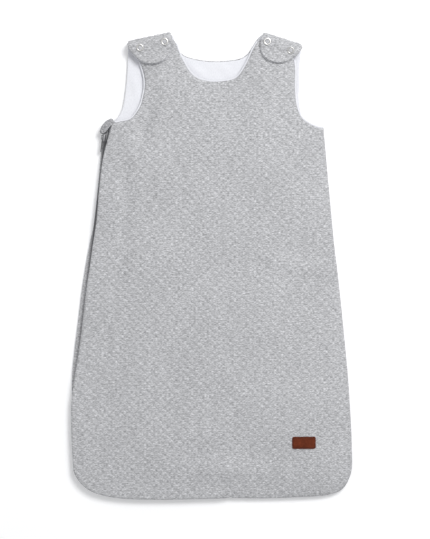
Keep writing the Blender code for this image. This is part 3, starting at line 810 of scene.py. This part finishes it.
def build_back():
    right_shoulder = [BACK_RIGHT_ARM[-1], BACK_NECK[0]]
    left_shoulder = [BACK_NECK[-1], BACK_LEFT_ARM[0]]
    below = [BACK_SIDE, HEM_LEFT, HEM_RIGHT]
    edge = loop(below + [BACK_RIGHT_ARM, right_shoulder, BACK_NECK, left_shoulder, BACK_LEFT_ARM], 3.0)
    quilt = pillow("back_quilt", edge, LOOSE, back_place, QUILT_HALF, None, HEATHER, (0.3, 1.0, 2.2))
    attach(quilt, "bag")
    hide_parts("back_shell", "back_padding")
    zip_side = np.vstack([curve(BACK_SIDE, 6.0), curve(HEM_LEFT, 6.0)])
    inner = drawn_in(drawn_in(edge, zip_side, BACK_LINING_IN_AT_ZIP), SEAM_RIM, LINING_IN)
    inner = drawn_in(inner, curve(BACK_NECK[1:-1], 6.0), NECK_RIM)
    rings = (0.3, 1.0)
    lining = pillow("back_lining_cloth", inner, PLAIN, lining_place, LINING_HALF, None, WHITE, rings, 1.2)
    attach(lining, "bag")
    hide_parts("back_lining")


# The side seam's section, as (height, depth): a groove between two round edges.
SEAM_SECTION = [(2.9, 1.6), (4.3, 0.9), (5.3, 1.2), (5.85, 2.4), (6.4, 1.2), (7.4, 0.9), (8.8, 1.6)]


def build_side_seam():
    """The sewn side and hem: both shells turn in and meet in a groove."""
    path = curve(HEM_RIGHT[1:], 3.0)
    rows = []
    for spot, inner in zip(path, directions(path)[1]):
        rows.append([(*(spot + inner * depth), z) for z, depth in SEAM_SECTION])
    seam = ribbon("side_seam_cloth", rows, 0.45, HEATHER_PLAIN)
    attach(seam, "bag")
    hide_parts("side_seam")


def build_front():
    right_shoulder = [FRONT_RIGHT_ARM[-1], FRONT_NECK[0]]
    left_shoulder = [FRONT_NECK[-1], FRONT_LEFT_ARM[0]]
    below = [FRONT_SIDE, HEM_LEFT, HEM_RIGHT]
    edge = loop(below + [FRONT_RIGHT_ARM, right_shoulder, FRONT_NECK, left_shoulder, FRONT_LEFT_ARM], 2.5)
    quilt = pillow("front_quilt", edge, QUILTED, front_place, QUILT_HALF, quilting, HEATHER)
    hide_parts("front_shell", "front_padding", "front_corner_shell", "front_corner_padding")
    blend_on_fold(quilt)
    inner = drawn_in(drawn_in(edge, ZIP_RIM, FRONT_LINING_IN_AT_ZIP), SEAM_RIM, LINING_IN)
    place = front_lining_place
    rings = (0.4, 1.2)
    lining = pillow("front_lining_cloth", inner, LOOSE, place, LINING_HALF, None, WHITE, rings, 1.4)
    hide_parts("front_lining", "front_corner_lining")
    blend_on_fold(lining)
    openings = {"neck": FRONT_NECK[1:-1], "right_arm": FRONT_RIGHT_ARM[:-1], "left_arm": FRONT_LEFT_ARM[1:]}
    for name, points in openings.items():
        roll = rolled_edge(name + "_rolled_lining", points)
        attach(roll, "bag")


def unrolled(fold, points):
    """A flap's outline, with the cloth that rolls round the shoulder and ends behind it."""
    start, stop, along, outwards = fold_axes(fold)
    reach = (math.pi - 1) * SHOULDER_ROLL + ROLL_TAIL
    first = start + along * ROLL_INSET
    last = stop - along * ROLL_INSET
    first_end = first + outwards * reach
    last_end = last + outwards * reach
    corners = [points[-1], last, last_end, first_end, first, points[0]]
    return anticlockwise(loop([points] + list(zip(corners, corners[1:])), 2.0))


def build_flap(side, fold, points):
    """A shoulder flap: the back's cloth, rolled over the shoulder and rounded at its end."""
    place = roll_place(fold)
    edge = unrolled(fold, points)

    def relief(plan):
        from_seam = edge_distance(plan, edge) - FLAP_SEAM_DEPTH
        return quilting(plan) - 0.7 * np.exp(-((from_seam / 0.9) ** 2))

    flap = pillow(side + "_flap_quilt", edge, QUILTED, place, FLAP_HALF, relief, HEATHER)
    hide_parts(side + "_flap_shell")
    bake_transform(flap)

    def under(plan):
        middle, up = place(plan)
        return middle - up * (FLAP_HALF + LINING_HALF), up

    inner = flap_lining_edge(fold, points)
    name = side + "_flap_lining_cloth"
    lining = pillow(name, inner, PLAIN, under, LINING_HALF, None, WHITE, (0.4,), 1.0)
    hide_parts(side + "_flap_lining")
    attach(lining, side + "_flap")


def flap_lining_edge(fold, points):
    """The lining's outline: the flap's own, a little larger, and cut straight before the roll."""
    start, stop, along, outwards = fold_axes(fold)
    back = SHOULDER_ROLL + 0.5
    end = np.array(points)
    end = end + (end - end.mean(axis=0)) * FLAP_LINING_SHOWS
    end = end[(end - start) @ outwards < -back]
    corners = [end[-1], stop - outwards * back - along * 3.0, start - outwards * back + along * 3.0, end[0]]
    return anticlockwise(loop([end] + list(zip(corners, corners[1:])), 2.5))


# Snaps, zip and label.

TURN_STEPS = 40

# Profiles of a snap, as (radius, height) corners.
BUTTON = [(0.02, 0.0), (3.3, 0.0), (3.3, 0.5), (2.9, 0.95), (2.0, 1.25), (1.0, 1.38), (0.02, 1.42)]
STUD = [
    (0.02, -0.2), (4.3, -0.2), (4.3, 0.25), (3.9, 0.5), (2.1, 0.6), (1.85, 1.2), (2.05, 1.8),
    (1.6, 2.2), (0.02, 2.3),
]


def turned(name, centre, tilt, profile, material):
    """A ring or stud about an axis through centre, from (radius, height) corners."""
    rings = []
    for k in range(TURN_STEPS):
        angle = 2 * math.pi * k / TURN_STEPS
        rings.append([(r * math.cos(angle), r * math.sin(angle), h) for r, h in profile])
    points = np.array(rings).reshape(-1, 3)
    count = len(profile)
    faces = []
    for k in range(TURN_STEPS):
        after = (k + 1) % TURN_STEPS
        for i in range(count):
            j = (i + 1) % count
            faces.append((k * count + i, k * count + j, after * count + j, after * count + i))
    return make_mesh(name, points @ np.array(tilt).T + centre, [f[::-1] for f in faces], None, material)


def round_profile(inner, outer, low, high, corner):
    """A closed section with rounded corners, for a turned ring."""
    made = []
    corners = [(outer - corner, low + corner, -90), (outer - corner, high - corner, 0)]
    corners += [(inner + corner, high - corner, 90), (inner + corner, low + corner, 180)]
    for x, y, start in corners:
        for step in range(4):
            angle = math.radians(start + 30 * step)
            made.append((x + corner * math.cos(angle), y + corner * math.sin(angle)))
    return made


CAP = round_profile(3.35, 5.45, 0.0, 1.15, 0.5)
SOCKET = round_profile(2.3, 4.3, -2.1, 0.0, 0.3)
BACK_RING = round_profile(3.35, 5.45, 0.0, 0.9, 0.35)


def tilted_to(up):
    """A rotation that turns +Z to a direction."""
    return np.array(Vector((0, 0, 1)).rotation_difference(Vector(up)).to_matrix())


def snap_tilt(place, spot):
    """The way a snap faces where it is pressed through the flap."""
    centre = place(np.array([spot]))[0][0]
    near = place(np.array([spot + (2.0, 0.0), spot + (0.0, 2.0)]))[0]
    slope = np.cross(near[0] - centre, near[1] - centre)
    return centre, tilted_to(slope / np.linalg.norm(slope))


def build_snap(name, side, fold):
    """A ring snap: an open ring and a socket on the flap, a stud and a ring on the front."""
    spot = np.array(SNAP_PLACES[name])
    centre, tilt = snap_tilt(roll_place(fold), spot)

    def on_flap(end, height, profile, material):
        return turned(name + end, centre + tilt @ np.array([0, 0, height]), tilt, profile, material)

    cap = on_flap("_ring", FLAP_HALF - 0.1, CAP, NICKEL)
    button = on_flap("_ring_centre", FLAP_HALF - 0.3, BUTTON, HEATHER_PLAIN)
    socket = on_flap("_socket", -FLAP_HALF - 0.6, SOCKET, NICKEL)
    for piece in (cap, button, socket):
        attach(piece, side + "_flap")
    front = front_place(np.array([spot]))[0][0]
    base = front + (0, 0, QUILT_HALF)
    stud = turned(name + "_stud", base, np.eye(3), STUD, NICKEL)
    ring = turned(name + "_back_ring", base - (0, 0, 2 * QUILT_HALF + 2.2), np.eye(3), BACK_RING, NICKEL)
    for piece in (stud, ring):
        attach(piece, "bag")
    ends = {cap: "cap_ring", socket: "socket", stud: "stud", ring: "back_ring"}
    for piece, end in ends.items():
        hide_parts(name + "_snap_" + end)


def zip_path(step):
    """The line of the zip: straight down the side, then round the corner and along the hem."""
    side = np.array([ZIP_SIDE_TOP, ZIP_SIDE_FOOT])
    straight = curve(side, step)
    corner = curve([ZIP_SIDE_FOOT] + HEM_LEFT[1:], step)
    edge = np.vstack([straight, corner])
    along, inwards = directions(edge)
    return edge + inwards * ZIP_LINE, along, inwards


def past_fold(points):
    """How far points lie beyond the fold line, on the side of the corner that folds."""
    start, stop = fold_line()
    along = (stop - start) / np.linalg.norm(stop - start)
    away = points - start
    return -(along[0] * away[:, 1] - along[1] * away[:, 0])


def everywhere(points):
    return np.ones(len(points), bool)


def on_corner(points):
    return past_fold(points) > FOLD_GAP


def above_corner(points):
    return (past_fold(points) < -FOLD_GAP) & (points[:, 1] > 0)


def teeth(name, heights, offset, keep, body, node):
    """A row of coil loops, each a rounded wedge that points at the other row."""
    middle, along, inwards = zip_path(TOOTH_PITCH)
    middle = middle + along * TOOTH_PITCH * offset
    chosen = keep(middle)
    points = []
    faces = []
    half_height = (heights[1] - heights[0]) / 2
    centre_z = (heights[0] + heights[1]) / 2
    sign = -1 if centre_z > ZIP_MIDDLE else 1
    for spot, forward, inner in zip(middle[chosen], along[chosen], inwards[chosen]):
        faces += tube_faces(len(TOOTH_SLICES), len(TOOTH), len(points))
        for depth, scale in TOOTH_SLICES:
            for up, across in TOOTH:
                ahead = forward * across * TOOTH_PITCH * 0.85 * scale
                place = spot - inner * (TOOTH_OUT + depth) + ahead
                points.append((*place, centre_z + sign * up * half_height * (0.9 + 0.1 * scale)))
    made = make_mesh(name, points, faces, None, COIL_GREY)
    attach(made, body)
    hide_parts(node)


def ribbon(name, rows, half, material):
    """A thin closed strip through rows of points, each row running across the strip."""
    rows = np.array(rows)
    count, width = rows.shape[:2]
    across = rows[:, -1] - rows[:, 0]
    along = np.gradient(rows[:, 0], axis=0)
    normal = np.cross(along, across)
    normal /= np.linalg.norm(normal, axis=1)[:, None]
    upper = rows + normal[:, None, :] * half
    lower = rows - normal[:, None, :] * half
    ring = np.concatenate([upper, lower[:, ::-1]], axis=1)
    faces = [f[::-1] for f in tube_faces(count, 2 * width)]
    return make_mesh(name, ring.reshape(-1, 3), faces, None, material)


def tape(name, section, keep, body, node):
    middle, _, inwards = zip_path(4.0)
    chosen = keep(middle)
    rows = []
    for spot, inner in zip(middle[chosen], inwards[chosen]):
        rows.append([(*(spot + inner * lean), z) for z, lean in section])
    made = ribbon(name, rows, 0.3, TAPE_GREY_AND_SHADE)
    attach(made, body)
    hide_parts(node)


def build_zip():
    teeth("zip_back_coil", BACK_TEETH, 0.0, everywhere, "bag", "zip_back_teeth")
    teeth("zip_front_coil", FRONT_TEETH, 0.5, on_corner, "front_corner", "zip_front_teeth")
    teeth("zip_front_top_coil", FRONT_TEETH, 0.5, above_corner, "bag", "zip_front_top_teeth")
    tape("zip_back_tape_cloth", BACK_TAPE, everywhere, "bag", "zip_back_tape")
    tape("zip_front_tape_cloth", FRONT_TAPE, on_corner, "front_corner", "zip_front_tape")
    tape("zip_front_top_tape_cloth", FRONT_TAPE, above_corner, "bag", "zip_front_top_tape")


def build_zip_guard():
    """A white strip behind the zip, a little wavy."""
    rows = []
    middle, _, inwards = zip_path(6.0)
    for i, (spot, inner) in enumerate(zip(middle, inwards)):
        height = GUARD_HEIGHT + 0.25 * math.sin(i / 3.0)
        rows.append([(*(spot + inner * depth), height) for depth in GUARD_DEPTHS])
    guard = ribbon("zip_guard_cloth", rows, 0.5, WHITE_PLAIN)
    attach(guard, "bag")
    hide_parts("zip_guard")


def rounded_block(name, low, high, bevel, material, place):
    """A block with rounded edges, built in the slider's directions and then placed."""
    mesh = bpy.data.meshes.new(name)
    corners = [(x, y, z) for z in (low[2], high[2]) for y in (low[1], high[1]) for x in (low[0], high[0])]
    faces = [(0, 2, 3, 1), (4, 5, 7, 6), (0, 1, 5, 4), (2, 6, 7, 3), (0, 4, 6, 2), (1, 3, 7, 5)]
    mesh.from_pydata([tuple(c * METRES_PER_MM for c in corner) for corner in corners], [], faces)
    mesh.materials.append(material)
    made = bpy.data.objects.new(name, mesh)
    bpy.context.scene.collection.objects.link(made)
    modifier = made.modifiers.new("edges", "BEVEL")
    modifier.width = bevel * METRES_PER_MM
    modifier.segments = 3
    made.matrix_world = place
    return made


def joined(name, pieces):
    """One object from several overlapping ones, with their modifiers applied."""
    graph = bpy.context.evaluated_depsgraph_get()
    first = pieces[0]
    for piece in pieces:
        mesh = bpy.data.meshes.new_from_object(piece.evaluated_get(graph))
        mesh.transform(piece.matrix_world)
        piece.modifiers.clear()
        piece.data = mesh
        piece.matrix_world = Matrix.Identity(4)
    for piece in pieces[1:]:
        modifier = first.modifiers.new("join", "BOOLEAN")
        modifier.operation = "UNION"
        modifier.object = piece
    bpy.context.view_layer.update()
    graph = bpy.context.evaluated_depsgraph_get()
    mesh = bpy.data.meshes.new_from_object(first.evaluated_get(graph))
    first.modifiers.clear()
    first.data = mesh
    first.name = name
    mesh.shade_smooth()
    mesh.set_sharp_from_angle(angle=math.radians(SHARP_ANGLE))
    for piece in pieces[1:]:
        bpy.data.objects.remove(piece)
    return first


def slider_matrix():
    """From the slider's directions (in, along, up) to the object's: its origin is on the zip."""
    along = Vector(ZIP_SIDE_TOP) - Vector(ZIP_SIDE_FOOT)
    low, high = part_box("slider")
    middle = (Vector(low) + Vector(high)) / 2
    turn = math.atan2(along.y, along.x) - math.pi / 2
    offset = Vector((math.cos(turn), math.sin(turn), 0)) * SLIDER_OFF_CENTRE * METRES_PER_MM
    return Matrix.Translation(middle + offset) @ Matrix.Rotation(turn, 4, "Z")


def build_slider():
    place = slider_matrix()
    for name, blocks in (("slider", SLIDER_BLOCKS), ("puller", PULLER_BLOCKS)):
        pieces = [rounded_block(name, *block, SLIDER_METAL, place) for block in blocks]
        made = joined("zip_" + name, pieces)
        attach(made, name)
        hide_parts(name)
    for node in ("zip_back_top_stop", "zip_front_top_stop", "zip_bottom_stop"):
        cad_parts[node].data.materials.clear()
        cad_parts[node].data.materials.append(SLIDER_METAL)


def build_garage():
    """A tab of the shell's cloth that curls over the top of the zip, coloured darker than the shell with
    painted shade.
    """
    path = curve(GARAGE_PATH, 1.2)
    _, outwards = directions(path)
    rows = []
    for i, (spot, outer) in enumerate(zip(path, outwards)):
        share = i / (len(path) - 1)
        pinch = 1 - 0.45 * (2 * share - 1) ** 4
        top = 1 - 0.08 * (2 * share - 1) ** 2
        row = []
        for z, depth in GARAGE_SECTION:
            row.append((*(spot - outer * (depth * pinch)), GARAGE_FOOT + (z - GARAGE_FOOT) * top))
        rows.append(row)
    tab = ribbon("garage_tab", rows, 1.0, HEATHER_PAINTED_SHADE)
    tab.modifiers.new("smooth", "SUBSURF").levels = 1
    tab.modifiers["smooth"].render_levels = 1
    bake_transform(tab)
    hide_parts("zip_garage_tab")


def label_outline(size, corner, steps=8):
    made = []
    for turn, (sx, sy) in enumerate(((1, 1), (-1, 1), (-1, -1), (1, -1))):
        for k in range(steps):
            angle = math.pi / 2 * (turn + k / (steps - 1))
            x = sx * (size[0] / 2 - corner) + corner * math.cos(angle)
            y = sy * (size[1] / 2 - corner) + corner * math.sin(angle)
            made.append((x, y))
    return np.array(made)


def label_place(plan):
    front, up = front_place(plan)
    return front + up * (QUILT_HALF + LABEL_LIFT), up


def build_label():
    """A leather label that follows the front, with a row of stitches sunk round its edge."""
    low, high = (np.array(corner[:2]) * MM_PER_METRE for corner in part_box("label"))
    centre = (low + high) / 2 + LABEL_SHIFT
    size = high - low
    outline = label_outline(size, 2.6) + centre
    edge = loop([np.vstack([outline, outline[:1]])], 1.0)
    stitch_line = label_outline(size - 2 * STITCH_MARGIN, 2.0, 6) + centre

    def relief(plan):
        away = edge_distance(plan, stitch_line)
        return -0.35 * np.exp(-((away / 0.6) ** 2)) + 0.05 * softness(plan, 2.0, 2.5)

    rings = (0.1, 0.3, 0.6)
    label = pillow("leather_label", edge, LEATHERY, label_place, LABEL_HALF, relief, LEATHER, rings, 0.7)
    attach(label, "bag")
    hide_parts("label")
    build_stitches(np.vstack([stitch_line, stitch_line[:1]]))


def build_stitches(stitch_line):
    """Short arched threads along the label's edge."""
    route = curve(stitch_line, 0.25)
    lengths = np.concatenate([[0], np.cumsum(np.linalg.norm(np.diff(route, axis=0), axis=1))])
    points = []
    faces = []
    for start in np.arange(0, lengths[-1] - STITCH, STITCH):
        reached = start + np.linspace(0, 1, STITCH_RINGS) * STITCH * STITCH_SHARE
        spots = np.column_stack([np.interp(reached, lengths, route[:, k]) for k in (0, 1)])
        _, across = directions(spots)
        middle, _ = label_place(spots)
        faces += tube_faces(STITCH_RINGS, STITCH_SIDES, len(points))
        for k in range(STITCH_RINGS):
            arch = math.sin(math.pi * k / (STITCH_RINGS - 1))
            radius = 0.16 + 0.14 * arch
            height = middle[k][2] + 0.45 + 0.18 * arch
            for j in range(STITCH_SIDES):
                angle = 2 * math.pi * j / STITCH_SIDES
                spot = spots[k] + across[k] * radius * math.cos(angle)
                points.append((*spot, height + radius * math.sin(angle)))
    stitches = make_mesh("label_stitches", points, faces, None, LABEL_THREAD)
    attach(stitches, "bag")
    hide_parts("label_stitching")


# Camera, floor and light.

VIEW_CENTRE = (5.5, -5.5)
VIEW_HEIGHT = 805.3
VIEW_LEVEL = 9.0
CAMERA_DISTANCE = 2200.0
FILM_HEIGHT = 24.0
FLOOR_HALF = 6000.0
FLOOR_DROP = 0.4
FLOOR_GLOW = 0.16
WORLD_COLOUR = (0.97, 0.98, 1.0, 1.0)
WORLD_STRENGTH = 0.50
# Each lamp's place and size, in metres, and its power. All of them point at the middle.
LAMPS = {"key": ((0.95, 1.2, 2.4), 1.0, 51.5), "fill": ((-1.3, -0.3, 2.2), 2.0, 4.0)}


def build_camera():
    camera = bpy.data.cameras.new("camera")
    camera.sensor_fit = "VERTICAL"
    camera.sensor_height = FILM_HEIGHT
    camera.lens = FILM_HEIGHT * (CAMERA_DISTANCE - VIEW_LEVEL) / VIEW_HEIGHT
    camera.dof.use_dof = False
    holder = bpy.data.objects.new("camera", camera)
    holder.location = (*(c * METRES_PER_MM for c in VIEW_CENTRE), CAMERA_DISTANCE * METRES_PER_MM)
    bpy.context.scene.collection.objects.link(holder)
    bpy.context.scene.camera = holder


def build_floor():
    corners = [(x * FLOOR_HALF, y * FLOOR_HALF, 0) for x, y in ((-1, -1), (1, -1), (1, 1), (-1, 1))]
    material, tree, shader = nodes_of("floor_white")
    grain = object_noise(tree, 3.0, 2.0)
    colour = ramp(tree, grain, [(0.3, (0.90, 0.90, 0.905)), (0.7, (0.91, 0.91, 0.915))])
    tree.links.new(colour, shader.inputs["Base Color"])
    white = (*grey(1.0), 1.0)
    set_inputs(shader, Roughness=0.9, Emission_Color=white, Emission_Strength=FLOOR_GLOW)
    floor = make_mesh("floor", corners, [(0, 1, 2, 3)], None, material)
    floor.location.z = -FLOOR_DROP * METRES_PER_MM


def area_light(name, place, size, power):
    data = bpy.data.lights.new(name, "AREA")
    data.size = size
    data.energy = power
    light = bpy.data.objects.new(name, data)
    light.location = place
    light.rotation_euler = (-Vector(place)).to_track_quat("-Z", "Y").to_euler()
    bpy.context.scene.collection.objects.link(light)


def build_light():
    world = bpy.data.worlds.new("studio")
    world.use_nodes = True
    background = world.node_tree.nodes["Background"]
    set_inputs(background, Color=WORLD_COLOUR, Strength=WORLD_STRENGTH)
    bpy.context.scene.world = world
    for name, lamp in LAMPS.items():
        area_light(name, *lamp)
    bpy.context.scene.view_settings.view_transform = "Standard"


build_back()
build_side_seam()
build_front()
build_flap("left", LEFT_FOLD, LEFT_FLAP)
build_flap("right", RIGHT_FOLD, RIGHT_FLAP)
for snap in SNAP_PLACES:
    flap_side = snap.split("_")[0]
    build_snap(snap, flap_side, LEFT_FOLD if flap_side == "left" else RIGHT_FOLD)
build_zip()
build_zip_guard()
build_slider()
build_garage()
build_label()
build_camera()
build_floor()
build_light()
